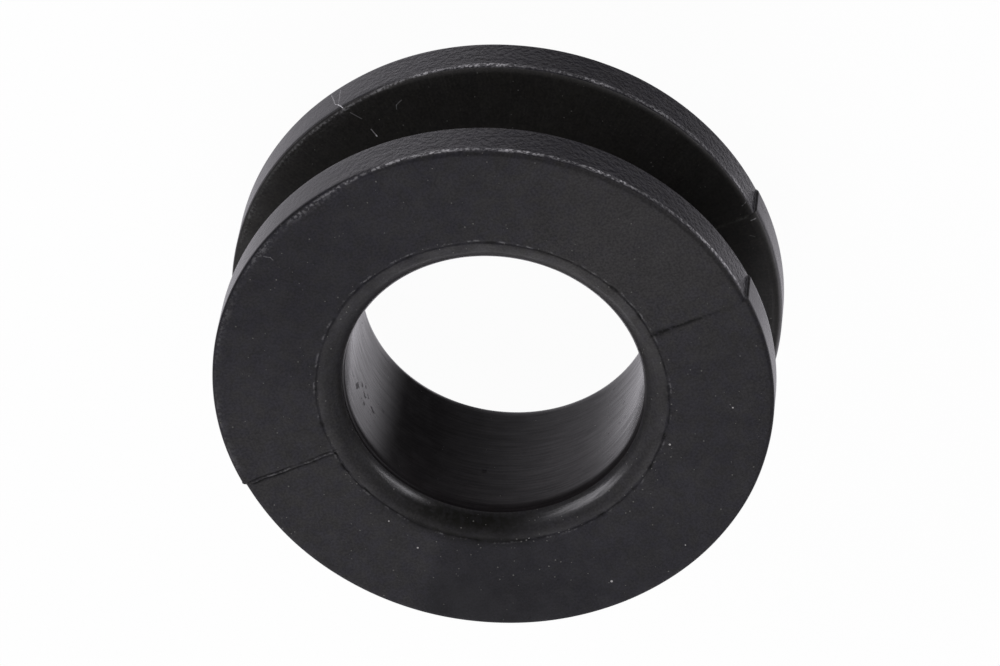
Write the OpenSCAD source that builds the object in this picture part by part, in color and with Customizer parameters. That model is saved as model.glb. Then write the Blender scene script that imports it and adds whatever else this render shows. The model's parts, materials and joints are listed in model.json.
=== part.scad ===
// Tank insulator pad: a one-piece moulded rubber grommet, shaped like a spool.
// Two flanges hold a bracket's hole in the groove between them, and a bolt collar passes through the bore.
// It stands on its lower flange, with the bore axis along +Z and the origin at the centre of the lower face.
// The mould splits along the XZ plane, and the two half moulds meet with a small step along X.

/* [Flanges] */
// Outer diameter of both flanges
flange_d = 40; // [34:0.5:60]
// Thickness of each flange
flange_t = 3.75; // [2.5:0.25:6]
// Edge radius round the upper face, where the mould's top plate closed
face_edge_r = 0.35; // [0.2:0.05:1]
// Edge radius of the other rim edges on the -Y side, left by that half mould
front_edge_r = 0.4; // [0.2:0.05:1]
// Edge radius of the other rim edges on the +Y side, left by that half mould
back_edge_r = 0.75; // [0.2:0.05:1]

/* [Neck] */
// Diameter of the neck at the bottom of the groove
neck_d = 28; // [26:0.5:31]
// Width of the groove between the flanges
groove_w = 8; // [3:0.25:16]
// Fillet where the neck meets each flange
root_r = 0.75; // [0.2:0.05:1.2]

/* [Bore] */
// Diameter of the straight bore
bore_d = 21.5; // [14:0.25:23]
// Radius of the bell mouth at each end of the bore
mouth_r = 1.75; // [0.5:0.05:2.25]

/* [Moulding] */
// Step between the two half moulds along the parting plane
mould_step = 0.2; // [0:0.05:0.4]

/* [Hidden] */

// A round never takes more than this share of the wall that it ends on
round_share = 0.45;
// How far a cutting shape runs past the face that it opens
overrun = 1;
rubber = [0.045, 0.044, 0.047];

flange_r = flange_d / 2;
neck_r = neck_d / 2;
bore_r = bore_d / 2;
groove_z = flange_t;
height = 2 * flange_t + groove_w;

face_edge = min(face_edge_r, round_share * flange_t);
front_edge = min(front_edge_r, round_share * flange_t);
back_edge = min(back_edge_r, round_share * flange_t);
root = min(root_r, round_share * groove_w, round_share * (flange_r - neck_r));
mouth = min(mouth_r, round_share * height, flange_r - bore_r - max(face_edge, front_edge, back_edge));

$fn = 180;

// Half section of a flange from the axis out to its rim, with its lower and upper rim corners rounded
module flange_section(low_edge, high_edge) {
    square([flange_r - low_edge, flange_t / 2]);
    translate([0, flange_t / 2])
        square([flange_r - high_edge, flange_t / 2]);
    translate([0, low_edge])
        square([flange_r, flange_t - low_edge - high_edge]);
    translate([flange_r - low_edge, low_edge])
        circle(r = low_edge);
    translate([flange_r - high_edge, flange_t - high_edge])
        circle(r = high_edge);
}

// Fillet in the corner between the neck and a flange; up is 1 above the lower flange, -1 below the upper one
module root_fillet(up) {
    difference() {
        translate([0, min(0, up * root)])
            square([root, root]);
        translate([root, up * root])
            circle(r = root);
    }
}

// Half section of the whole spool before it is bored; edge is the half mould's own edge radius
module spool_section(edge) {
    flange_section(edge, edge);
    translate([0, height - flange_t])
        flange_section(edge, face_edge);
    square([neck_r, height]);
    translate([neck_r, groove_z])
        root_fillet(1);
    translate([neck_r, groove_z + groove_w])
        root_fillet(-1);
}

// What one half mould forms: half a turn of the section, moved along the parting plane
module mould_half(edge, turn, shift) {
    translate([shift, 0, 0])
        rotate([0, 0, turn])
            rotate_extrude(angle = 180)
                spool_section(edge);
}

// Half section of one bell mouth, outside the bore line, on the face at z = 0 with the pad above it
module mouth_section() {
    difference() {
        translate([0, -overrun])
            square([bore_r + mouth, overrun + mouth]);
        translate([bore_r + mouth, mouth])
            circle(r = mouth);
    }
}

// The core pin: the straight bore with a bell mouth at each end
module core_pin() {
    translate([0, 0, -overrun])
        cylinder(r = bore_r, h = height + 2 * overrun);
    rotate_extrude()
        mouth_section();
    translate([0, 0, height])
        mirror([0, 0, 1])
            rotate_extrude()
                mouth_section();
}

module insulator_pad() {
    color(rubber)
        difference() {
            union() {
                mould_half(front_edge, 180, mould_step / 2);
                mould_half(back_edge, 0, -mould_step / 2);
            }
            core_pin();
        }
}

insulator_pad();
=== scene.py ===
"""Looks of the tank insulator pad: one moulded rubber spool, its mould marks, its finishes and its studio."""

import json
import logging
import math
from dataclasses import dataclass, field
from enum import Enum

import bmesh
import bpy
from mathutils import Matrix, Vector, noise


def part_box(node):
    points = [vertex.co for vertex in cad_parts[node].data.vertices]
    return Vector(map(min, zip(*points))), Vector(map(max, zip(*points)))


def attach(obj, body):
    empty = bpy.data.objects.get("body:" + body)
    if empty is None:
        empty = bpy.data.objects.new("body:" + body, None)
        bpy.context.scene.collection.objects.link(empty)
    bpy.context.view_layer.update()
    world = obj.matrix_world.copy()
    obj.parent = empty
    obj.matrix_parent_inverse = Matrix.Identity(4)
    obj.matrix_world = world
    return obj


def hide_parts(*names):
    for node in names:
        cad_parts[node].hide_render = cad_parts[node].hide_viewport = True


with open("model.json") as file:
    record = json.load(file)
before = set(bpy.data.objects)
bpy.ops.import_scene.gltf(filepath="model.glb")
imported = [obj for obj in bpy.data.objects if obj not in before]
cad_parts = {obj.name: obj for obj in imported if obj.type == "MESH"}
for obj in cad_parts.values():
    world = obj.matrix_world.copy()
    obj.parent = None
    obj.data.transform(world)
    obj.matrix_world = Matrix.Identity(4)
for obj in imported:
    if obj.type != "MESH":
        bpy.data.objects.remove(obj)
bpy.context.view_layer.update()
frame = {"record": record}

MM = 0.001
SAME_POINT = 1e-7
CUT_SNAP = 1e-8
NODE = "insulator_pad"
BODY = "root"
LOG = logging.getLogger("insulator_pad")

Socket = bpy.types.NodeSocket
Colour = tuple[float, float, float, float]
WHITE: Colour = (1.0, 1.0, 1.0, 1.0)


class Zone(Enum):
    """The surfaces that came off different parts of the mould; the value is the material index."""

    FACE = 0
    RIM = 1
    GROOVE = 2
    MOUTH = 3
    BORE = 4


class Mark(Enum):
    """Point attributes from 0 to 1 that the mould marks write and the finishes read."""

    # dark seams and cracks: dirt, and painted shadow in the cracks and along the rim's step
    SEAM = "seam"
    # pale torn flash, lips and ridge tops, lightened as painted glints
    FLASH_GLINT = "burr"
    DUST = "dust"
    POLISH = "polish"
    COARSE = "coarse"
    SCUFF = "scuff"
    # tone of the faces, partly painted light and shade by bearing; on the groove wall, a painted highlight
    # along the parting line
    TONE_AND_SHADING = "tone"
    # grime round the bell mouth on the bore's dull side, deepened as painted shade
    GRIME_AND_SHADE = "grime"


class Lay(Enum):
    """Which way a finish's streaks run."""

    NONE = 0
    ROUND = 1
    RADIAL = 2


def smooth_step(low: float, high: float, value: float) -> float:
    """Rise smoothly from 0 at low to 1 at high."""
    t = min(max((value - low) / (high - low), 0.0), 1.0)
    return t * t * (3.0 - 2.0 * t)


def hump(distance: float, half_width: float) -> float:
    """A bell curve that is 1 at no distance."""
    return math.exp(-((distance / half_width) ** 2))


def turned(point: Vector, bearing_deg: float) -> float:
    """Angle from a bearing round +Z to a point, from -180 to 180 degrees."""
    return (math.degrees(math.atan2(point.y, point.x)) - bearing_deg + 180) % 360 - 180


@dataclass(frozen=True)
class Ripple:
    """Smooth noise between about -1 and 1 with features of one size; its seed sets it apart."""

    size: float
    seed: float

    def at(self, *place: float) -> float:
        """Read the noise at a place.

        Args:
            place: One to three coordinates, in metres.

        Returns:
            The noise there.
        """
        point = [p / self.size for p in place] + [0.0] * (3 - len(place))
        return noise.noise(Vector(point) + Vector((self.seed, 1.7 * self.seed, 0.37)))


@dataclass(frozen=True)
class SpoolSection:
    """Half section of the spool, in metres: two flanges, the neck and the bell-mouthed bore."""

    flange_r: float
    flange_t: float
    neck_r: float
    bore_r: float
    height: float
    mouth_r: float
    face_edge_r: float = 0.35 * MM
    edge_r: float = 0.4 * MM
    root_r: float = 0.75 * MM
    face_pitch: float = 0.4 * MM
    rim_pitch: float = 0.22 * MM
    bore_pitch: float = 0.55 * MM
    wall_pitch: float = 0.9 * MM
    crease_share: float = 0.065
    rim_share: float = 0.15
    face_rim_share: float = 0.1
    mouth_segments: int = 13
    edge_segments: int = 7
    root_segments: int = 5

    @classmethod
    def from_frame(cls) -> "SpoolSection":
        """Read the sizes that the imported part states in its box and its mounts."""
        low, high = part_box(NODE)
        mounts = {mount["name"]: mount["dims"] for mount in frame["record"]["mounts"]}
        height = high[2] - low[2]
        return cls(
            flange_r=round((high[1] - low[1]) / 2, 4),
            flange_t=(height - mounts["groove"]["length_mm"] * MM) / 2,
            neck_r=mounts["groove"]["r_mm"] * MM,
            bore_r=mounts["bore"]["r_mm"] * MM,
            height=height,
            mouth_r=(height - mounts["bore"]["length_mm"] * MM) / 2,
        )

    @property
    def ring_r(self) -> float:
        """Radius where the bell mouth runs out into the face."""
        return self.bore_r + self.mouth_r

    @property
    def corner_heights(self) -> tuple[float, float, float, float]:
        """Heights of the four rim corners, from the floor up."""
        return (0.0, self.flange_t, self.height - self.flange_t, self.height)

    def end_distance(self, z: float) -> float:
        """Distance from a height to the nearer of the two faces."""
        return min(z, self.height - z)

    def outline(self) -> bmesh.types.BMesh:
        """Draw the section as a closed wire in the XZ plane, with its corners rounded.

        Returns:
            A bmesh that holds only the wire.
        """
        bm = bmesh.new()
        low, groove_low, groove_high, top = self.corner_heights
        mouths = [bm.verts.new((self.bore_r, 0, z)) for z in (low, top)]
        rims = [bm.verts.new((self.flange_r, 0, z)) for z in self.corner_heights]
        roots = [bm.verts.new((self.neck_r, 0, z)) for z in (groove_low, groove_high)]
        bm.faces.new([mouths[0], rims[0], rims[1], roots[0], roots[1], rims[2], rims[3], mouths[1]])
        self._round(bm, mouths, self.mouth_r, self.mouth_segments)
        self._round(bm, rims[:3], self.edge_r, self.edge_segments)
        self._round(bm, rims[3:], self.face_edge_r, self.edge_segments)
        self._round(bm, roots, self.root_r, self.root_segments)
        bmesh.ops.delete(bm, geom=list(bm.faces), context="FACES_ONLY")
        for edge in list(bm.edges):
            cuts = int(edge.calc_length() / self._pitch(edge))
            if cuts:
                bmesh.ops.subdivide_edges(bm, edges=[edge], cuts=cuts)
        return bm

    def _pitch(self, edge: bmesh.types.BMEdge) -> float:
        """Choose how far apart the points on a straight stretch of the section lie."""
        a, b = (vert.co for vert in edge.verts)
        if max(self.end_distance(a.z), self.end_distance(b.z)) < SAME_POINT:
            return self.face_pitch
        if max(a.x, b.x) < self.bore_r + SAME_POINT:
            return self.bore_pitch
        return self.rim_pitch if min(a.x, b.x) > self.flange_r - SAME_POINT else self.wall_pitch

    @staticmethod
    def _round(
        bm: bmesh.types.BMesh, corners: list[bmesh.types.BMVert], radius: float, segments: int,
    ) -> None:
        """Round some corners of the section with arcs of one radius."""
        bmesh.ops.bevel(
            bm, geom=corners, affect="VERTICES", offset=radius, offset_type="OFFSET",
            segments=segments, profile=0.5, material=-1,
        )

    def zone(self, r: float, z: float) -> Zone:
        """Say which part of the mould made the surface at a radius and height."""
        end = self.end_distance(z)
        if r < self.bore_r + self.crease_share * self.mouth_r:
            return Zone.BORE
        if r < self.ring_r:
            return Zone.MOUTH
        corner = self.face_rim_share if end < self.face_edge_r else self.rim_share
        if r > self.flange_r - corner * self.edge_r:
            return Zone.RIM
        if end > self.flange_t - self.edge_r:
            return Zone.GROOVE
        return Zone.FACE


@dataclass(frozen=True)
class MouldHalves:
    """How the half moulds differ: a step along the parting plane and softer rim edges on the +Y half."""

    section: SpoolSection
    step: float
    soft_edge_r: float = 0.75 * MM
    blend: float = 0.05 * MM
    slide_reach: float = 2 * MM

    def place(self, point: Vector) -> Vector:
        """Move a point of the plain spool to where its half mould left it.

        Args:
            point: A point on the plain spool.

        Returns:
            The moved point.
        """
        r = math.hypot(point.x, point.y)
        if r < self.section.ring_r:
            return point.copy()
        soft = smooth_step(-self.blend, self.blend, point.y)
        new_r, new_z = self._soften(r, point.z, soft)
        outward = smooth_step(self.section.ring_r, self.section.ring_r + self.slide_reach, r)
        slide = self.step * (0.5 - soft) * outward
        return Vector((point.x * new_r / r + slide, point.y * new_r / r, new_z))

    def _soften(self, r: float, z: float, soft: float) -> tuple[float, float]:
        """Widen the rounds of all rim corners but the top one, by the share of the soft half."""
        inward = self.section.flange_r - r
        reach = self.section.flange_t / 2
        corner = min(self.section.corner_heights, key=lambda height: abs(height - z))
        away = z - corner
        if inward > reach or abs(away) > reach or corner == self.section.height:
            return r, z
        wide_in = self._stretch(inward, reach)
        wide_away = math.copysign(self._stretch(abs(away), reach), away)
        return r + (inward - wide_in) * soft, z + (wide_away - away) * soft

    def _stretch(self, distance: float, reach: float) -> float:
        """Map a distance from a corner so that the edge radius grows to the soft one."""
        near, far = self.section.edge_r, self.soft_edge_r
        if distance <= near:
            return distance * far / near
        return far + (distance - near) * (reach - far) / (reach - near)


@dataclass(frozen=True)
class MouldMarks:
    """What moulding and use left on the pad: seams, flash, gloss, grime and tone, with painted shade, glints
    and shading among them. Bearings are in degrees.
    """

    section: SpoolSection
    ridge: float = 0.022 * MM
    crack: float = 0.05 * MM
    line_half_width: float = 0.065 * MM
    line_reach: float = 0.5 * MM
    line_bend: Ripple = Ripple(2.2 * MM, 41.0)
    line_jitter: Ripple = Ripple(0.9 * MM, 43.0)
    line_tear: Ripple = Ripple(0.45 * MM, 3.0)
    line_gaps: Ripple = Ripple(0.8 * MM, 8.0)
    ring_depth: float = 0.06 * MM
    ring_half_width: float = 0.06 * MM
    ring_bend: Ripple = Ripple(3.5 * MM, 11.0)
    ring_jitter: Ripple = Ripple(0.8 * MM, 12.0)
    ring_gaps: Ripple = Ripple(1.3 * MM, 5.0)
    ring_pits: Ripple = Ripple(0.7 * MM, 31.0)
    ring_tear: Ripple = Ripple(0.6 * MM, 6.0)
    bead: float = 0.03 * MM
    bead_half_width: float = 0.12 * MM
    bead_reach: float = 1 * MM
    bead_gaps: Ripple = Ripple(2.5 * MM, 17.0)
    bead_swell: Ripple = Ripple(1.1 * MM, 29.0)
    nub: float = 0.09 * MM
    nub_half_width: float = 0.16 * MM
    sway: float = 0.025 * MM
    sway_wave: Ripple = Ripple(6 * MM, 23.0)
    dust_reach: float = 0.9 * MM
    grime_and_shade_reach: float = 0.45 * MM
    lip_fade: float = 0.4 * MM
    bore_fade: float = 5 * MM
    bore_dull: float = 60.0
    rim_dull: float = -143.0
    # bearings where the faces are painted darker or lighter, partly shading and partly stains
    dark_edge: float = 48.0
    dim_side: float = -61.0
    pale_side: float = -154.0
    fair_side: float = 4.0
    scuffs: tuple[tuple[float, float, float], ...] = (
        (0.9, 9.4, 1.7), (-9.0, 10.4, 1.2), (119.7, 8.6, 0.8), (49.0, 12.6, 0.7), (57.5, 9.2, 0.6),
    )

    def at(self, point: Vector) -> tuple[float, dict[Mark, float]]:
        """Work out the marks at a point of the plain spool.

        Args:
            point: A point on the plain spool.

        Returns:
            How far the surface is raised along its normal, and each mark's strength from 0 to 1.
        """
        r = math.hypot(point.x, point.y)
        marks = {mark: 0.0 for mark in Mark}
        marks[Mark.TONE_AND_SHADING] = 0.5
        lift = self._flash_nub(point)
        if r < self.section.ring_r - SAME_POINT:
            self._mouth(point, r, marks)
            marks[Mark.SCUFF] = self._scuffed(point)
        else:
            self._face_tone_and_shading(point, r, marks)
            lift += self._parting(point, r, marks)
            lift += self._core_ring(point, r, marks)
            lift += self._flash_bead(point, r, marks)
            lift += self._rim(point, r, marks)
        return lift, marks

    def _mouth(self, point: Vector, r: float, marks: dict[Mark, float]) -> None:
        """Gloss of the mouth and of the bore's two flanks, rubbed in use, and grime with painted shade on the
        dull side.
        """
        drop = self.section.mouth_r - self.section.end_distance(point.z)
        tilt = math.degrees(math.atan2(self.section.ring_r - r, max(drop, 0.0)))
        flat = smooth_step(72, 54, tilt)
        turn = turned(point, self.bore_dull)
        rubbed = max(smooth_step(4, 26, turn), smooth_step(-10, -36, turn))
        crease = 66 - 8 * smooth_step(-20, 0, turn)
        mouth = rubbed * smooth_step(18, 38, tilt) * smooth_step(crease + 16, crease, tilt)
        left = 0.74 * smooth_step(-38, -60, turn)
        right = 0.34 * smooth_step(36, 66, turn) + 0.36 * smooth_step(-30, 40, turn)
        deep = self.section.height - self.section.mouth_r - point.z
        rising = 0.78 * smooth_step(0.0, self.lip_fade, deep)
        rising += 0.22 * smooth_step(self.lip_fade, self.bore_fade, deep)
        flanks = max(left, right) * smooth_step(170, 130, abs(turn)) * rising
        marks[Mark.POLISH] = max(mouth, flanks)
        # grime with painted shade, stronger down the slope of the mouth
        marks[Mark.GRIME_AND_SHADE] = self._grime_and_shade(point) * flat * (0.45 + 0.55 * smooth_step(6, 34, tilt))
        # tone with painted light and shade, carried from the face into the flatter part of the mouth
        marks[Mark.TONE_AND_SHADING] = 0.5 + 0.6 * flat * self._shading_and_stain(point)

    def _grime_and_shade(self, point: Vector) -> float:
        """How much grime and painted shade lie round the bell mouth on the dull side of the bore."""
        turn = turned(point, self.bore_dull)
        return smooth_step(26, 6, turn) * smooth_step(-50, -14, turn)

    def _face_tone_and_shading(self, point: Vector, r: float, marks: dict[Mark, float]) -> None:
        """Tone of the faces with painted light and shade, and the grime with painted shade that runs out onto
        them from the bell mouth.
        """
        if self.section.end_distance(point.z) > self.section.face_edge_r:
            return
        marks[Mark.TONE_AND_SHADING] = 0.5 + self._shading_and_stain(point)
        marks[Mark.GRIME_AND_SHADE] = 0.85 * self._grime_and_shade(point) * hump(r - self.section.ring_r, self.grime_and_shade_reach)

    def _shading_and_stain(self, point: Vector) -> float:
        """How pale a face is painted round the bore, partly stains and partly painted light and shade, from
        -0.5 to 0.5; its dark stretch begins at a sharp edge.
        """
        past_edge = turned(point, self.dark_edge)
        dark = smooth_step(-3, 3, past_edge) * smooth_step(74, 14, past_edge)
        dim = hump(turned(point, self.dim_side), 34)
        pale = hump(turned(point, self.pale_side), 30)
        fair = hump(turned(point, self.fair_side), 34)
        outer = smooth_step(0.75, 0.875, math.hypot(point.x, point.y) / self.section.flange_r)
        return 0.46 * pale + 0.16 * fair - (0.4 + 0.1 * outer) * dark - 0.2 * dim

    def _scuffed(self, point: Vector) -> float:
        """Where the bore wall is scuffed; a scuff has a bearing, and a height and a reach in mm."""
        strengths = []
        for at, z, reach in self.scuffs:
            arc = math.radians(turned(point, at)) * self.section.bore_r
            strengths.append(hump(math.hypot(arc, point.z - z * MM), reach * MM))
        return max(strengths)

    def _parting(self, point: Vector, r: float, marks: dict[Mark, float]) -> float:
        """Line where the half moulds met: cracks with dirt and painted shadow beside a torn ridge, and one
        dark crack on the -X side.
        """
        if abs(point.y) > self.line_reach:
            return 0.0
        run = r + point.z
        half = self.line_half_width
        wander = 0.06 * MM * self.line_bend.at(run, point.x) + 0.04 * MM * self.line_jitter.at(run, point.x)
        across = point.y - wander
        torn = smooth_step(-0.35, 0.35, self.line_tear.at(run, point.x))
        dark = smooth_step(-0.7, 0.2, self.line_gaps.at(run, point.x))
        end = self.section.end_distance(point.z)
        if r > self.section.flange_r - self.section.edge_r:
            strength = 1.0 if end > self.section.edge_r else 0.4
            # the dark line along the rim's step: dirt and painted shadow
            marks[Mark.SEAM] = strength * hump(point.y, 0.7 * half)
            return 0.0
        if end > self.section.edge_r:
            # a painted highlight along the parting ridge on the groove wall
            marks[Mark.TONE_AND_SHADING] = 0.5 + 0.5 * hump(across, 2.4 * half)
            marks[Mark.FLASH_GLINT] = 0.06 * torn * hump(across, 1.6 * half)
            return self.ridge * (0.6 + 0.4 * torn) * hump(across, 1.6 * half)
        if point.x < 0:
            blot = hump(r - self.section.ring_r - 0.4 * MM, 0.9 * MM)
            fade = 1.0 - 0.85 * smooth_step(0.72, 0.95, r / self.section.flange_r)
            # dark crack on the -X side: dirt and painted shadow
            marks[Mark.SEAM] = fade * (0.6 + 0.4 * dark) * hump(across, (2 + 1.5 * blot) * half)
            return -self.crack * marks[Mark.SEAM]
        # cracks beside the ridge darkened with dirt and painted shadow; the ridge's torn top pale with
        # painted glints
        below, above = hump(across - 2 * half, half), hump(across + 2 * half, half)
        marks[Mark.SEAM] = max(below * (0.6 + 0.4 * dark), 0.8 * above * dark)
        marks[Mark.FLASH_GLINT] = 0.13 * torn * hump(across, half)
        return self.ridge * torn * hump(across, 1.4 * half) - self.crack * marks[Mark.SEAM]

    def _core_ring(self, point: Vector, r: float, marks: dict[Mark, float]) -> float:
        """Ragged crack round a face where the core pin met the mould, with dirt and painted shadow in it, and
        dust caught along it.
        """
        if self.section.end_distance(point.z) > SAME_POINT:
            return 0.0
        ring, half = self.section.ring_r, self.ring_half_width
        arc = (ring * point.x / r, ring * point.y / r, point.z)
        wander = 0.09 * MM * self.ring_bend.at(*arc) + 0.06 * MM * self.ring_jitter.at(*arc)
        across = r - ring - 2 * half - wander
        open_here = 0.2 + 0.5 * smooth_step(-0.5, 0.4, self.ring_gaps.at(*arc))
        pit = smooth_step(0.2, 0.45, self.ring_pits.at(*arc))
        crack = max(open_here * hump(across, half), pit * hump(across, 1.8 * half))
        torn = smooth_step(-0.1, 0.4, self.ring_tear.at(*arc))
        # the crack's torn lip, pale with painted glints
        lip = torn * hump(across - 2 * half, half)
        far_side = smooth_step(0.2, -0.6, point.y / r)
        # crack darkened with dirt and painted shadow
        marks[Mark.SEAM] = max(marks[Mark.SEAM], (0.95 - 0.35 * far_side) * crack)
        marks[Mark.FLASH_GLINT] = max(marks[Mark.FLASH_GLINT], (0.1 + 0.08 * far_side) * lip)
        low_side = 0.35 + 0.65 * smooth_step(-0.4, 1.0, point.y / r)
        marks[Mark.DUST] = low_side * hump(r - ring, self.dust_reach)
        return self.ring_depth * (0.4 * lip - crack)

    def _flash_bead(self, point: Vector, r: float, marks: dict[Mark, float]) -> float:
        """Torn bead along the crisp half's rim corners, pale with painted glints; towards +X it creeps from
        the rim to the face.
        """
        inward = self.section.flange_r - r
        away = min(abs(point.z - corner) for corner in self.section.corner_heights[1::2])
        if point.y > 0 or min(inward, away) > self.section.edge_r or max(inward, away) > self.bead_reach:
            return 0.0
        creep = smooth_step(-0.36, 0.25, point.x / r)
        path = inward - away
        centre = (-0.5 + 0.75 * creep) * MM
        broken = 0.3 + 0.7 * smooth_step(-0.35, 0.3, self.bead_gaps.at(*point))
        clear = smooth_step(-0.2 * MM, -2 * MM, point.y)
        # the bead and its painted glints fade towards +X
        bead_fade = 1.0 - 0.7 * smooth_step(0.4, 0.8, point.x / r)
        strength = (1.0 - 0.8 * creep) * broken * (clear * bead_fade)
        half = self.bead_half_width * (1.0 + 0.5 * self.bead_swell.at(*point))
        burr = strength * hump(path - centre, half)
        # a small dip beside the bead, darkened with painted shadow
        groove = creep * smooth_step(0.95, 0.7, point.x / r) * hump(path - centre + 0.3 * MM, 0.1 * MM)
        marks[Mark.FLASH_GLINT] = max(marks[Mark.FLASH_GLINT], burr)
        marks[Mark.SEAM] = max(marks[Mark.SEAM], 0.8 * groove)
        return self.bead * (burr - 0.7 * groove)

    def _flash_nub(self, point: Vector) -> float:
        """Lump of flash left where the parting line crosses the upper rim's corner."""
        centre = Vector((self.section.flange_r, 0.0, self.section.height - self.section.edge_r))
        return self.nub * hump((point - centre).length, self.nub_half_width)

    def _rim(self, point: Vector, r: float, marks: dict[Mark, float]) -> float:
        """Slight unevenness of the rims, and where their grain is coarse and their skin glossy."""
        if r < self.section.flange_r - self.section.edge_r:
            return 0.0
        crisp = 1.0 - smooth_step(-1 * MM, 0.0, point.y)
        turn = turned(point, self.rim_dull)
        marks[Mark.COARSE] = 0.12 + 0.88 * crisp * smooth_step(0.25, -0.45, point.x / r)
        skin = smooth_step(self.section.edge_r, 0.15 * self.section.edge_r, self.section.flange_r - r)
        if skin < 1.0:
            skin *= 1.0 - crisp
        upper = smooth_step(0.4, 0.6, point.z / self.section.height)
        polish = 0.16 + 0.42 * smooth_step(10, 48, abs(turn)) + 0.08 * hump(turn + 50, 24)
        polish += 0.16 * upper * smooth_step(70, 110, turn)
        marks[Mark.POLISH] = skin * polish * (1.0 - 0.85 * marks[Mark.SEAM])
        return self.sway * self.sway_wave.at(*point)


@dataclass(frozen=True)
class Speckle:
    """How specks lie on a surface: their typical spacing and their largest radius, in metres."""

    spacing: float
    radius: float


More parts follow.
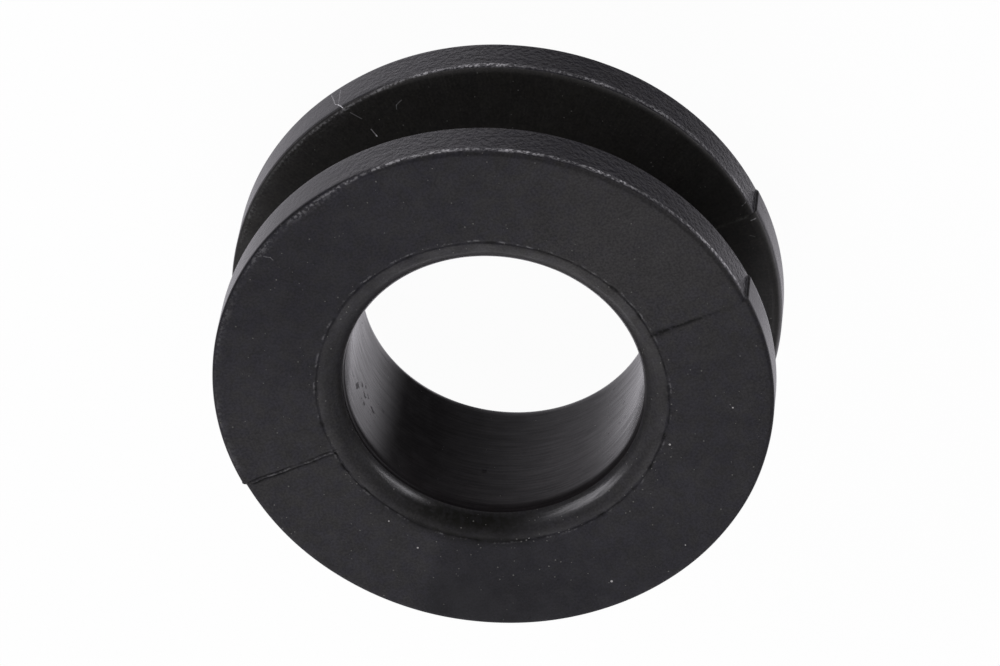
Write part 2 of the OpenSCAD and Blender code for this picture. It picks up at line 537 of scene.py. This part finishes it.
class NodeGraph:
    """A material's node tree, with short calls for the nodes that the finishes use."""

    def __init__(self, name: str) -> None:
        """Start a new material with an empty tree and an output."""
        self.material = bpy.data.materials.new(name)
        self.material.use_nodes = True
        self.tree = self.material.node_tree
        self.tree.nodes.clear()
        self.output = self.tree.nodes.new("ShaderNodeOutputMaterial")

    def node(self, kind: str, **settings: object) -> bpy.types.Node:
        """Add a node and set its properties.

        Args:
            kind: The node's type name.
            settings: Properties to set on the node.

        Returns:
            The new node.
        """
        new = self.tree.nodes.new(kind)
        for name, value in settings.items():
            setattr(new, name, value)
        return new

    def feed(self, socket: Socket, value: Socket | float | Colour) -> None:
        """Link a socket to an output, or set its value."""
        if isinstance(value, bpy.types.NodeSocket):
            self.tree.links.new(value, socket)
        else:
            socket.default_value = value

    def place(self) -> Socket:
        """Object coordinates."""
        return self.node("ShaderNodeTexCoord").outputs["Object"]

    def around(self, place: Socket, radius: float) -> Socket:
        """Where a point's radius meets a circle, so that a pattern read there runs along the radius."""
        flat = self.node("ShaderNodeVectorMath", operation="MULTIPLY")
        self.feed(flat.inputs[0], place)
        flat.inputs[1].default_value = (1.0, 1.0, 0.0)
        unit = self.node("ShaderNodeVectorMath", operation="NORMALIZE")
        self.feed(unit.inputs[0], flat.outputs[0])
        wide = self.node("ShaderNodeVectorMath", operation="SCALE")
        self.feed(wide.inputs[0], unit.outputs[0])
        wide.inputs["Scale"].default_value = radius
        return wide.outputs[0]

    def mark(self, mark: Mark) -> Socket:
        """One of the mould marks' point attributes."""
        return self.node("ShaderNodeAttribute", attribute_name=mark.value).outputs["Fac"]

    def math(self, operation: str, *values: Socket | float) -> Socket:
        """One arithmetic step on up to three values."""
        new = self.node("ShaderNodeMath", operation=operation)
        for socket, value in zip(new.inputs, values):
            self.feed(socket, value)
        return new.outputs[0]

    def spread(
        self, value: Socket, low: float, high: float, to_low: float = 0.0, to_high: float = 1.0,
    ) -> Socket:
        """Map a range of values smoothly onto another.

        Args:
            value: The value to map.
            low: Value that gives to_low.
            high: Value that gives to_high.
            to_low: Result at low and below.
            to_high: Result at high and above.

        Returns:
            The mapped value.
        """
        new = self.node("ShaderNodeMapRange", interpolation_type="SMOOTHSTEP")
        self.feed(new.inputs["Value"], value)
        ends = {"From Min": low, "From Max": high, "To Min": to_low, "To Max": to_high}
        for name, number in ends.items():
            new.inputs[name].default_value = number
        return new.outputs["Result"]

    def tint(self, factor: Socket | float, low: Socket | Colour, high: Socket | Colour) -> Socket:
        """Mix two colours."""
        new = self.node("ShaderNodeMix", data_type="RGBA")
        self.feed(new.inputs["Factor"], factor)
        for name, value in (("A", low), ("B", high)):
            self.feed(next(s for s in new.inputs if s.name == name and s.type == "RGBA"), value)
        return next(s for s in new.outputs if s.type == "RGBA")

    def shade(self, colour: Socket, amount: Socket) -> Socket:
        """Multiply a colour by an amount."""
        new = self.node("ShaderNodeVectorMath", operation="SCALE")
        self.feed(new.inputs[0], colour)
        self.feed(new.inputs["Scale"], amount)
        return new.outputs[0]

    def vary(self, colour: Socket, pattern: Socket, low: float, high: float, amount: float) -> Socket:
        """Darken a colour where a pattern is low and lighten it where the pattern is high.

        Args:
            colour: The colour.
            pattern: What it varies with.
            low: Value of the pattern that darkens it most.
            high: Value that lightens it most.
            amount: Share of the colour that is taken or added there.

        Returns:
            The varied colour.
        """
        return self.shade(colour, self.spread(pattern, low, high, 1 - amount, 1 + amount))

    def grain(self, place: Socket, size: float, detail: float = 2.0, stretch: float = 1.0) -> Socket:
        """Noise with features of a given size.

        Args:
            place: Coordinates to read it at.
            size: Length of one feature, in metres.
            detail: How many finer octaves are added.
            stretch: How much longer the features are along X and Y than along Z.

        Returns:
            The noise, from 0 to 1.
        """
        mapping = self.node("ShaderNodeMapping")
        self.feed(mapping.inputs["Vector"], place)
        mapping.inputs["Scale"].default_value = (1 / (size * stretch), 1 / (size * stretch), 1 / size)
        new = self.node("ShaderNodeTexNoise")
        self.feed(new.inputs["Vector"], mapping.outputs["Vector"])
        new.inputs["Scale"].default_value = 1.0
        new.inputs["Detail"].default_value = detail
        return new.outputs[0]

    def specks(self, place: Socket, speckle: Speckle, share: Socket | float) -> Socket:
        """Small round specks scattered over a surface.

        Args:
            place: Coordinates to read them at.
            speckle: How the specks lie.
            share: Share of the places for a speck that hold one, from 0 to 1.

        Returns:
            1 on a speck and 0 off it.
        """
        cells = self.node("ShaderNodeTexVoronoi")
        self.feed(cells.inputs["Vector"], place)
        cells.inputs["Scale"].default_value = 1.0 / speckle.spacing
        colour = self.node("ShaderNodeSeparateColor")
        self.feed(colour.inputs[0], cells.outputs["Color"])
        size = self.math("MULTIPLY", colour.outputs["Green"], speckle.radius / speckle.spacing)
        near = self.math("LESS_THAN", cells.outputs["Distance"], size)
        chosen = self.math("LESS_THAN", colour.outputs["Red"], share)
        return self.math("MULTIPLY", near, chosen)

    def thread(self, place: Socket, start: Vector, end: Vector, half_width: float) -> Socket:
        """A straight stretch of thread that lies on a surface.

        Args:
            place: Object coordinates.
            start: Where the stretch begins.
            end: Where it ends.
            half_width: Half the width of the thread, in metres.

        Returns:
            1 on the thread and 0 off it.
        """
        along = end - start
        offset = self.node("ShaderNodeVectorMath", operation="SUBTRACT")
        self.feed(offset.inputs[0], place)
        offset.inputs[1].default_value = start
        share = self.node("ShaderNodeVectorMath", operation="DOT_PRODUCT")
        self.feed(share.inputs[0], offset.outputs[0])
        share.inputs[1].default_value = along / along.length_squared
        within = self.node("ShaderNodeClamp")
        self.feed(within.inputs["Value"], share.outputs["Value"])
        nearest = self.node("ShaderNodeVectorMath", operation="SCALE")
        nearest.inputs[0].default_value = along
        self.feed(nearest.inputs["Scale"], within.outputs[0])
        gap = self.node("ShaderNodeVectorMath", operation="DISTANCE")
        self.feed(gap.inputs[0], offset.outputs[0])
        self.feed(gap.inputs[1], nearest.outputs[0])
        return self.spread(gap.outputs["Value"], 0.5 * half_width, half_width, 1.0, 0.0)

    def bump(self, height: Socket, depth: float, under: Socket | None = None) -> Socket:
        """Turn a height from 0 to 1 into a surface normal.

        Args:
            height: The relief.
            depth: What a height of 1 measures, in metres.
            under: A normal that this relief lies on.

        Returns:
            The new normal.
        """
        new = self.node("ShaderNodeBump")
        new.inputs["Distance"].default_value = depth
        self.feed(new.inputs["Height"], height)
        if under is not None:
            self.feed(new.inputs["Normal"], under)
        return new.outputs["Normal"]


@dataclass(frozen=True)
class Thread:
    """A thread of lint that clings to the pad; its course has bearings, and radii and heights in mm."""

    course: tuple[tuple[float, float, float], ...]
    cover: float
    half_width: float = 0.045 * MM

    def stretches(self) -> list[tuple[Vector, Vector]]:
        """The straight stretches of the thread, in metres."""
        turns = [(math.radians(at), r, z) for at, r, z in self.course]
        places = [Vector((r * math.cos(turn), r * math.sin(turn), z)) * MM for turn, r, z in turns]
        return list(zip(places, places[1:]))


@dataclass(frozen=True)
class RubberFinish:
    """One finish of the moulded rubber. Colours are linear, lengths are in metres."""

    name: str
    cool: Colour
    warm: Colour
    roughness: tuple[float, float]
    specular: float
    grain_size: float = 0.12 * MM
    grain_depth: float = 0.008 * MM
    grain_tone: float = 0.22
    coat_roughness: float | None = None
    coat_relief: float = 1.0
    coat_streaks: tuple[float, float] = (0.9, 1.1)
    lump_size: float = 0.34 * MM
    lump_depth: float = 0.0
    lay: Lay = Lay.NONE
    streak_pitch: float = 0.16 * MM
    streak_depth: float = 0.0
    streak_tone: float = 0.0
    streak_stretch: float = 22.0
    lay_r: float = 17 * MM
    dust: float = 0.0
    grime: bool = False
    pits: float = 0.0
    hairs: float = 0.0
    lint: tuple[Thread, ...] = ()
    patch_size: float = 0.8 * MM
    stain_size: float = 9 * MM
    stain_tone: float = 0.06
    scuff_size: float = 0.6 * MM
    hair_size: float = 0.3 * MM
    clot_size: float = 0.35 * MM
    rag_size: float = 0.3 * MM
    tear_size: float = 0.22 * MM
    pit: Speckle = Speckle(1.4 * MM, 0.13 * MM)
    fine_dust: Speckle = Speckle(0.34 * MM, 0.06 * MM)
    speck: Speckle = Speckle(0.9 * MM, 0.1 * MM)
    dust_colour: Colour = (0.11, 0.108, 0.1, 1.0)
    speck_colour: Colour = (0.42, 0.41, 0.4, 1.0)
    # pale of torn flash and lint; on the flash it also stands for painted glints
    flash_glint_and_lint_colour: Colour = (0.8, 0.79, 0.8, 1.0)
    # dark of grime, partly painted shade
    grime_and_shade_colour: Colour = (0.0042, 0.004, 0.0024, 1.0)
    # near black of cracks, seams and pits: dirt and painted shadow
    crack_dirt_and_shadow_colour: Colour = (0.003, 0.003, 0.0026, 1.0)

    def material(self) -> bpy.types.Material:
        """Build the finish as a material on object coordinates."""
        graph = NodeGraph(self.name)
        place = graph.place()
        fine = graph.grain(place, self.grain_size, 3.0)
        streaks = self.streaks(graph, place)
        shader = graph.node("ShaderNodeBsdfPrincipled")
        shader.inputs["Specular IOR Level"].default_value = self.specular
        graph.feed(shader.inputs["Base Color"], self.colour(graph, place, fine, streaks))
        graph.feed(shader.inputs["Roughness"], self.gloss(graph, place))
        graph.feed(shader.inputs["Normal"], self.relief(graph, place, fine, streaks))
        if self.coat_roughness is not None:
            shader.inputs["Coat Roughness"].default_value = self.coat_roughness
            graph.feed(shader.inputs["Coat Weight"], self.polish(graph, place, streaks))
            skin = self.relief(graph, place, fine, streaks, self.coat_relief)
            graph.feed(shader.inputs["Coat Normal"], skin)
        graph.feed(graph.output.inputs["Surface"], shader.outputs[0])
        return graph.material

    def streaks(self, graph: NodeGraph, place: Socket) -> Socket | None:
        """Fine streaks along the finish's lay."""
        if self.lay is Lay.ROUND:
            return graph.grain(place, self.streak_pitch, 4.0, self.streak_stretch)
        if self.lay is Lay.RADIAL:
            return graph.grain(graph.around(place, self.lay_r), self.streak_pitch, 3.0)
        return None

    def colour(self, graph: NodeGraph, place: Socket, fine: Socket, streaks: Socket | None) -> Socket:
        """Black with cool and warm patches, stains, painted light and shade from the tone mark, a fine grain
        and streaks, under its marks and dirt.

        Args:
            graph: The tree to add to.
            place: Object coordinates.
            fine: The fine grain.
            streaks: The streaks, if the finish has them.

        Returns:
            The colour.
        """
        # the tone mark lightens, darkens and warms the colour: painted light and shade, partly stains
        tone = graph.mark(Mark.TONE_AND_SHADING)
        patches = graph.spread(graph.grain(place, self.patch_size, 3.0), 0.36, 0.64)
        warmth = graph.math("MULTIPLY_ADD", patches, 0.6, graph.math("MULTIPLY_ADD", tone, 1.4, -0.5))
        colour = graph.tint(warmth, self.cool, self.warm)
        colour = graph.shade(colour, graph.math("MULTIPLY_ADD", tone, 1.2, 0.4))
        colour = graph.vary(colour, graph.grain(place, self.stain_size, 1.0), 0.3, 0.7, self.stain_tone)
        colour = graph.vary(colour, fine, 0.28, 0.72, self.grain_tone)
        if streaks is not None:
            colour = graph.vary(colour, streaks, 0.3, 0.7, self.streak_tone)
        if self.hairs:
            broken = graph.spread(graph.grain(place, self.hair_size, 2.0), 0.52, 0.64)
            hairs = graph.math("MULTIPLY", graph.spread(streaks, 0.54, 0.66, 0.0, self.hairs), broken)
            colour = graph.tint(hairs, colour, self.dust_colour)
        return self.dirt(graph, place, self.seams_and_painted_light(graph, place, colour))

    def seams_and_painted_light(self, graph: NodeGraph, place: Socket, colour: Socket) -> Socket:
        """Lay grime with painted shade, dark seams with painted shadow, and pale torn flash with painted
        glints over a colour.

        Args:
            graph: The tree to add to.
            place: Object coordinates.
            colour: The colour beneath.

        Returns:
            The colour with the marks on it.
        """
        # grime with painted shade, broken into clots
        if self.grime:
            clotted = graph.spread(graph.grain(place, self.clot_size, 3.0), 0.4, 0.58, 0.6, 1.0)
            grime = graph.math("MULTIPLY", graph.mark(Mark.GRIME_AND_SHADE), clotted)
            colour = graph.tint(grime, colour, self.grime_and_shade_colour)
        # seams and cracks darkened with dirt and painted shadow
        ragged = graph.spread(graph.grain(place, self.rag_size, 3.0), 0.4, 0.56, 0.25, 1.2)
        seam = graph.math("MULTIPLY", graph.mark(Mark.SEAM), ragged)
        colour = graph.tint(seam, colour, self.crack_dirt_and_shadow_colour)
        # pale torn flash with painted glints
        torn = graph.spread(graph.grain(place, self.tear_size, 3.0), 0.44, 0.6, 0.1, 1.0)
        burr = graph.math("MULTIPLY", graph.mark(Mark.FLASH_GLINT), torn)
        return graph.tint(burr, colour, self.flash_glint_and_lint_colour)

    def dirt(self, graph: NodeGraph, place: Socket, colour: Socket) -> Socket:
        """Scatter pits, dust and lint over a colour.

        Args:
            graph: The tree to add to.
            place: Object coordinates.
            colour: The colour beneath.

        Returns:
            The colour with the dirt on it.
        """
        if self.pits:
            colour = graph.tint(graph.specks(place, self.pit, self.pits), colour, self.crack_dirt_and_shadow_colour)
        if self.dust:
            gathered = graph.mark(Mark.DUST)
            share = graph.math("MULTIPLY_ADD", gathered, 0.9, self.dust)
            colour = graph.tint(graph.specks(place, self.fine_dust, share), colour, self.dust_colour)
            share = graph.math("MULTIPLY_ADD", gathered, 0.3, 0.16 * self.dust)
            colour = graph.tint(graph.specks(place, self.speck, share), colour, self.speck_colour)
        for thread in self.lint:
            for start, end in thread.stretches():
                cover = graph.thread(place, start, end, thread.half_width)
                cover = graph.math("MULTIPLY", cover, thread.cover)
                colour = graph.tint(cover, colour, self.flash_glint_and_lint_colour)
        return colour

    def gloss(self, graph: NodeGraph, place: Socket) -> Socket:
        """Roughness that varies in soft patches and is highest in the seams and in the grime with its painted
        shade.
        """
        patches = graph.spread(graph.grain(place, 1.7 * self.patch_size, 3.0), 0.35, 0.65, *self.roughness)
        dull = graph.math("MAXIMUM", graph.mark(Mark.SEAM), graph.mark(Mark.GRIME_AND_SHADE))
        return graph.math("MULTIPLY_ADD", dull, 1.0 - self.roughness[1], patches)

    def polish(self, graph: NodeGraph, place: Socket, streaks: Socket | None) -> Socket:
        """Weight of the glossy skin where the rubber is polished, broken by small scuffs and by the streaks.

        Args:
            graph: The tree to add to.
            place: Object coordinates.
            streaks: The streaks, if the finish has them.

        Returns:
            The weight, from 0 to 1.
        """
        patchy = graph.grain(place, self.scuff_size, 4.0)
        rubbed = graph.math("MULTIPLY_ADD", graph.mark(Mark.SCUFF), 0.18, patchy)
        kept = graph.spread(rubbed, 0.7, 0.76, 1.0, 0.3)
        weight = graph.math("MULTIPLY", graph.mark(Mark.POLISH), kept)
        if streaks is None:
            return weight
        return graph.math("MULTIPLY", weight, graph.spread(streaks, 0.3, 0.7, *self.coat_streaks))

    def relief(
        self, graph: NodeGraph, place: Socket, fine: Socket, streaks: Socket | None, share: float = 1.0,
    ) -> Socket:
        """Fine grain on the streaks, or on broader lumps where the mould was coarse.

        Args:
            graph: The tree to add to.
            place: Object coordinates.
            fine: The fine grain.
            streaks: The streaks, if the finish has them.
            share: How much of the relief's depth shows.

        Returns:
            The normal.
        """
        normal = None
        if self.lump_depth:
            lumps = graph.grain(place, self.lump_size, 2.0)
            lumps = graph.math("MULTIPLY", lumps, graph.mark(Mark.COARSE))
            normal = graph.bump(lumps, share * self.lump_depth)
        if streaks is not None:
            normal = graph.bump(streaks, share * self.streak_depth, normal)
        return graph.bump(fine, share * self.grain_depth, normal)


@dataclass
class InsulatorPad:
    """The rubber spool: spun from its section, set by its half moulds and marked by the moulding."""

    section: SpoolSection
    halves: MouldHalves
    marks: MouldMarks
    finishes: dict[Zone, RubberFinish]
    half_turn_steps: int = 250
    parting_band_mm: float = 0.6
    parting_cuts_mm: tuple[float, ...] = (0.04, 0.08, 0.12, 0.16, 0.22, 0.3)
    ring_cuts_mm: tuple[float, ...] = (0.04, 0.08, 0.12, 0.16, 0.2, 0.26, 0.34)

    def build(self) -> bpy.types.Object:
        """Model the spool and hand it to the frame in place of the plain solid.

        Returns:
            The finished object.
        """
        bm = self._spin()
        self._zone_faces(bm)
        marks = self._press_marks(bm)
        mesh = bpy.data.meshes.new("moulded_pad")
        bm.to_mesh(mesh)
        bm.free()
        for mark, strengths in marks.items():
            mesh.attributes.new(mark.value, "FLOAT", "POINT").data.foreach_set("value", strengths)
        pad = bpy.data.objects.new("moulded_pad", mesh)
        bpy.context.collection.objects.link(pad)
        self._dress(pad)
        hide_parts(NODE)
        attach(pad, BODY)
        return pad

    def _spin(self) -> bmesh.types.BMesh:
        """Spin the section through one half mould's half turn and mirror it across the parting plane."""
        bm = self.section.outline()
        for offset in self.ring_cuts_mm:
            bmesh.ops.bisect_plane(
                bm, geom=list(bm.verts) + list(bm.edges), dist=CUT_SNAP,
                plane_co=(self.section.ring_r + offset * MM, 0, 0), plane_no=(1, 0, 0),
            )
        bmesh.ops.spin(
            bm, geom=list(bm.verts) + list(bm.edges), cent=(0, 0, 0), axis=(0, 0, 1), dvec=(0, 0, 0),
            angle=math.pi, steps=self.half_turn_steps, use_merge=False, use_duplicate=False,
        )
        for offset in self.parting_cuts_mm:
            near = [face for face in bm.faces if abs(face.verts[0].co.y) < self.parting_band_mm * MM]
            parts = list({v for f in near for v in f.verts}) + list({e for f in near for e in f.edges})
            bmesh.ops.bisect_plane(
                bm, geom=parts + near, dist=CUT_SNAP, plane_co=(0, offset * MM, 0), plane_no=(0, 1, 0),
            )
        half = list(bm.verts) + list(bm.edges) + list(bm.faces)
        bmesh.ops.mirror(bm, geom=half, axis="Y", merge_dist=SAME_POINT)
        bmesh.ops.remove_doubles(bm, verts=list(bm.verts), dist=SAME_POINT)
        bmesh.ops.recalc_face_normals(bm, faces=list(bm.faces))
        return bm

    def _press_marks(self, bm: bmesh.types.BMesh) -> dict[Mark, list[float]]:
        """Set the spool by its half moulds and press the marks into it.

        Args:
            bm: The plain spool, which is changed.

        Returns:
            For each mark, its strength at every point.
        """
        bm.normal_update()
        strengths: dict[Mark, list[float]] = {mark: [] for mark in Mark}
        moved = []
        for vert in bm.verts:
            lift, marks = self.marks.at(vert.co)
            moved.append(self.halves.place(vert.co) + vert.normal * lift)
            for mark, strength in marks.items():
                strengths[mark].append(strength)
        for vert, point in zip(bm.verts, moved):
            vert.co = point
        return strengths

    def _zone_faces(self, bm: bmesh.types.BMesh) -> None:
        """Give each face the material of the mould surface that made it."""
        for face in bm.faces:
            centre = face.calc_center_median()
            face.material_index = self.section.zone(math.hypot(centre.x, centre.y), centre.z).value
            face.smooth = True

    def _dress(self, pad: bpy.types.Object) -> None:
        """Put the finishes on in the order of their zones."""
        for zone in Zone:
            pad.data.materials.append(self.finishes[zone].material())


def bearing(azimuth: float, elevation: float) -> Vector:
    """Unit vector towards a place round the pad; azimuth 0 is on the -Y side and 90 on the +X side.

    Args:
        azimuth: Degrees round +Z.
        elevation: Degrees above the floor.

    Returns:
        The direction.
    """
    turn, rise = math.radians(azimuth), math.radians(elevation)
    return Vector((math.sin(turn) * math.cos(rise), -math.cos(turn) * math.cos(rise), math.sin(rise)))


@dataclass(frozen=True)
class Softbox:
    """A rectangular lamp that faces the pad; its level is how brightly it lights what is square to it."""

    name: str
    azimuth: float
    elevation: float
    size: tuple[float, float]
    level: float
    tint: tuple[float, float, float] = (0.97, 0.95, 1.0)
    distance: float = 0.7

    def build(self, target: Vector) -> bpy.types.Object:
        """Hang the lamp round a target.

        Args:
            target: The point that it faces.

        Returns:
            The lamp's object.
        """
        data = bpy.data.lights.new(self.name, "AREA")
        data.shape = "RECTANGLE"
        data.size, data.size_y = self.size
        data.energy = self.level * (math.pi * self.distance) ** 2
        data.color = self.tint
        lamp = bpy.data.objects.new(self.name, data)
        bpy.context.collection.objects.link(lamp)
        away = bearing(self.azimuth, self.elevation)
        lamp.location = target + away * self.distance
        lamp.rotation_euler = away.to_track_quat("Z", "Y").to_euler()
        return lamp


@dataclass(frozen=True)
class PhotoCamera:
    """The photograph's camera: a long lens that looks down into the bore, turned nearly upside down."""

    aim: tuple[float, float, float] = (-1.943 * MM, -3.145 * MM, 13.135 * MM)
    azimuth: float = -33.559
    elevation: float = 57.377
    roll: float = 171.165
    distance: float = 465.94 * MM
    lens: float = 235.68
    sensor: float = 36.0
    near: float = 10 * MM

    def build(self) -> bpy.types.Object:
        """Set up the camera and make it the scene's own."""
        data = bpy.data.cameras.new("photo_camera")
        data.lens = self.lens
        data.sensor_width = self.sensor
        data.sensor_fit = "HORIZONTAL"
        data.clip_start = self.near
        camera = bpy.data.objects.new("photo_camera", data)
        bpy.context.collection.objects.link(camera)
        away = bearing(self.azimuth, self.elevation)
        upright = away.to_track_quat("Z", "Y").to_matrix().to_4x4()
        rolled = upright @ Matrix.Rotation(-math.radians(self.roll), 4, "Z")
        camera.matrix_world = Matrix.Translation(Vector(self.aim) + away * self.distance) @ rolled
        bpy.context.scene.camera = camera
        return camera


@dataclass
class Studio:
    """White floor, soft lamps and a dim even surround."""

    floor_half: float = 4.0
    floor_colour: Colour = (0.92, 0.92, 0.92, 1.0)
    paper_share: float = 0.97
    glow_tint: Colour = (0.965, 0.935, 1.0, 1.0)
    surround: Colour = (0.1, 0.1, 0.107, 1.0)
    lamp_aim: tuple[float, float, float] = (0.0, 0.0, 8 * MM)
    lamps: list[Softbox] = field(default_factory=lambda: [
        Softbox("overhead", azimuth=150, elevation=50, size=(0.5, 0.5), level=0.48),
        Softbox("low_front", azimuth=144, elevation=27, size=(0.54, 0.34), level=0.33),
        Softbox("left_side", azimuth=38, elevation=24, size=(0.42, 0.36), level=0.46),
        Softbox("right_side", azimuth=-77, elevation=12, size=(0.4, 0.22), level=0.28),
    ])

    def build(self) -> None:
        """Lay the floor, hang the lamps and set the surround."""
        bpy.context.scene.view_settings.view_transform = "Standard"
        self._floor()
        for lamp in self.lamps:
            lamp.build(Vector(self.lamp_aim))
        world = bpy.data.worlds.new("surround")
        world.use_nodes = True
        world.node_tree.nodes["Background"].inputs["Color"].default_value = self.surround
        bpy.context.scene.world = world

    def _floor(self) -> None:
        """Lay the floor, white to the camera and in reflections, with the pad's shadow kept."""
        bm = bmesh.new()
        bmesh.ops.create_grid(bm, x_segments=1, y_segments=1, size=self.floor_half)
        mesh = bpy.data.meshes.new("floor")
        bm.to_mesh(mesh)
        bm.free()
        floor = bpy.data.objects.new("floor", mesh)
        bpy.context.collection.objects.link(floor)
        graph = NodeGraph("floor_paper")
        diffuse = graph.node("ShaderNodeBsdfDiffuse")
        diffuse.inputs["Color"].default_value = self.floor_colour
        paper = graph.node("ShaderNodeEmission")
        path = graph.node("ShaderNodeLightPath")
        glow = graph.tint(path.outputs["Is Glossy Ray"], WHITE, self.glow_tint)
        graph.feed(paper.inputs["Color"], glow)
        seen = graph.math("MAXIMUM", path.outputs["Is Camera Ray"], path.outputs["Is Glossy Ray"])
        seen = graph.math("MAXIMUM", seen, path.outputs["Is Transmission Ray"])
        mix = graph.node("ShaderNodeMixShader")
        graph.feed(mix.inputs["Fac"], graph.math("MULTIPLY", seen, self.paper_share))
        graph.feed(mix.inputs[1], diffuse.outputs[0])
        graph.feed(mix.inputs[2], paper.outputs[0])
        graph.feed(graph.output.inputs["Surface"], mix.outputs[0])
        floor.data.materials.append(graph.material)


def clinging_lint() -> tuple[Thread, ...]:
    """The threads that cling to the back flange and to the upper face."""
    return (
        Thread(((-76.2, 20.02, 0.65), (-78.0, 20.02, 2.6), (-78.95, 20.02, 2.95)), 0.3),
        Thread(((-78.65, 20.02, 0.7), (-78.9, 20.02, 2.7)), 0.24),
        Thread(((-78.8, 20.02, 2.9), (-79.6, 20.02, 3.35), (-80.1, 19.9, 3.65)), 0.8),
        Thread(((-80.9, 19.35, 3.75), (-82.1, 18.5, 3.75)), 0.15),
        Thread(((-82.4, 17.43, 3.75), (-82.5, 16.8, 3.75)), 0.35),
        Thread(((-82.5, 16.82, 3.75), (-82.5, 16.75, 3.75)), 0.9, 0.06 * MM),
        Thread(((-90.4, 18.05, 3.75), (-90.8, 18.36, 3.75), (-92.4, 18.6, 3.75)), 0.14),
        Thread(
            ((-59.6, 19.38, 15.5), (-59.8, 19.2, 15.5), (-60.2, 18.95, 15.5), (-60.0, 18.68, 15.5)), 0.1,
        ),
        Thread(((-177.1, 19.45, 3.75), (-176.8, 19.8, 3.62)), 0.22),
        Thread(((178.85, 19.5, 3.74), (178.7, 19.85, 3.57)), 0.4),
        Thread(((175.5, 18.95, 3.75), (174.9, 19.25, 3.75)), 0.1),
    )


def finishes() -> dict[Zone, RubberFinish]:
    """The pad's finishes, one for each zone of the mould."""
    cool = (0.0148, 0.0141, 0.0193, 1.0)
    warm = (0.0168, 0.016, 0.0158, 1.0)
    lint = clinging_lint()
    return {
        Zone.FACE: RubberFinish(
            "face_rubber", cool, warm, (0.68, 0.74), 0.25, grain_size=0.17 * MM, grain_depth=0.02 * MM,
            grain_tone=0.38, dust=0.25, grime=True, lint=lint,
        ),
        Zone.RIM: RubberFinish(
            "rim_rubber", (0.0108, 0.0103, 0.0138, 1.0), (0.0118, 0.011, 0.0124, 1.0), (0.5, 0.6), 0.02,
            coat_roughness=0.25, grain_depth=0.008 * MM, lump_depth=0.23 * MM, dust=0.05, lint=lint,
        ),
        Zone.GROOVE: RubberFinish(
            "groove_rubber", (0.0142, 0.0133, 0.0118, 1.0), (0.0154, 0.0143, 0.0118, 1.0), (0.6, 0.7), 0.36,
            coat_roughness=0.3, grain_size=0.16 * MM, grain_tone=0.36, lay=Lay.RADIAL, streak_tone=0.1,
            streak_depth=0.003 * MM, dust=0.16, hairs=0.1, lint=lint,
        ),
        Zone.MOUTH: RubberFinish(
            "mouth_rubber", (0.0205, 0.0194, 0.0222, 1.0), (0.021, 0.02, 0.0188, 1.0), (0.6, 0.7), 0.28,
            coat_roughness=0.27, coat_relief=0.5, coat_streaks=(0.45, 1.25), grain_size=0.17 * MM,
            grain_depth=0.012 * MM, grain_tone=0.35, lay=Lay.ROUND, streak_pitch=0.1 * MM,
            streak_tone=0.12, streak_depth=0.006 * MM, dust=0.3, grime=True,
        ),
        Zone.BORE: RubberFinish(
            "bore_rubber", (0.0131, 0.0117, 0.0125, 1.0), (0.0141, 0.0124, 0.0125, 1.0), (0.5, 0.6), 0.02,
            coat_roughness=0.16, coat_relief=0.6, coat_streaks=(0.78, 1.22), grain_size=0.2 * MM,
            grain_depth=0.003 * MM, grain_tone=0.1, lay=Lay.ROUND, streak_tone=0.3,
            streak_depth=0.012 * MM, pits=0.06, dust=0.03,
        ),
    }


def main() -> None:
    """Build the pad, the studio and the camera in order."""
    logging.basicConfig(level=logging.INFO, format="%(name)s: %(message)s")
    section = SpoolSection.from_frame()
    low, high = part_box(NODE)
    step = round(high[0] - low[0], 4) - 2 * section.flange_r
    pad = InsulatorPad(section, MouldHalves(section, step), MouldMarks(section), finishes()).build()
    pad.data.calc_loop_triangles()
    LOG.info("%s: %d triangles, mould step %.2f mm", pad.name, len(pad.data.loop_triangles), step / MM)
    Studio().build()
    camera = PhotoCamera().build()
    LOG.info("%s: %.0f mm lens", camera.name, camera.data.lens)


if __name__ == "__main__":
    main()
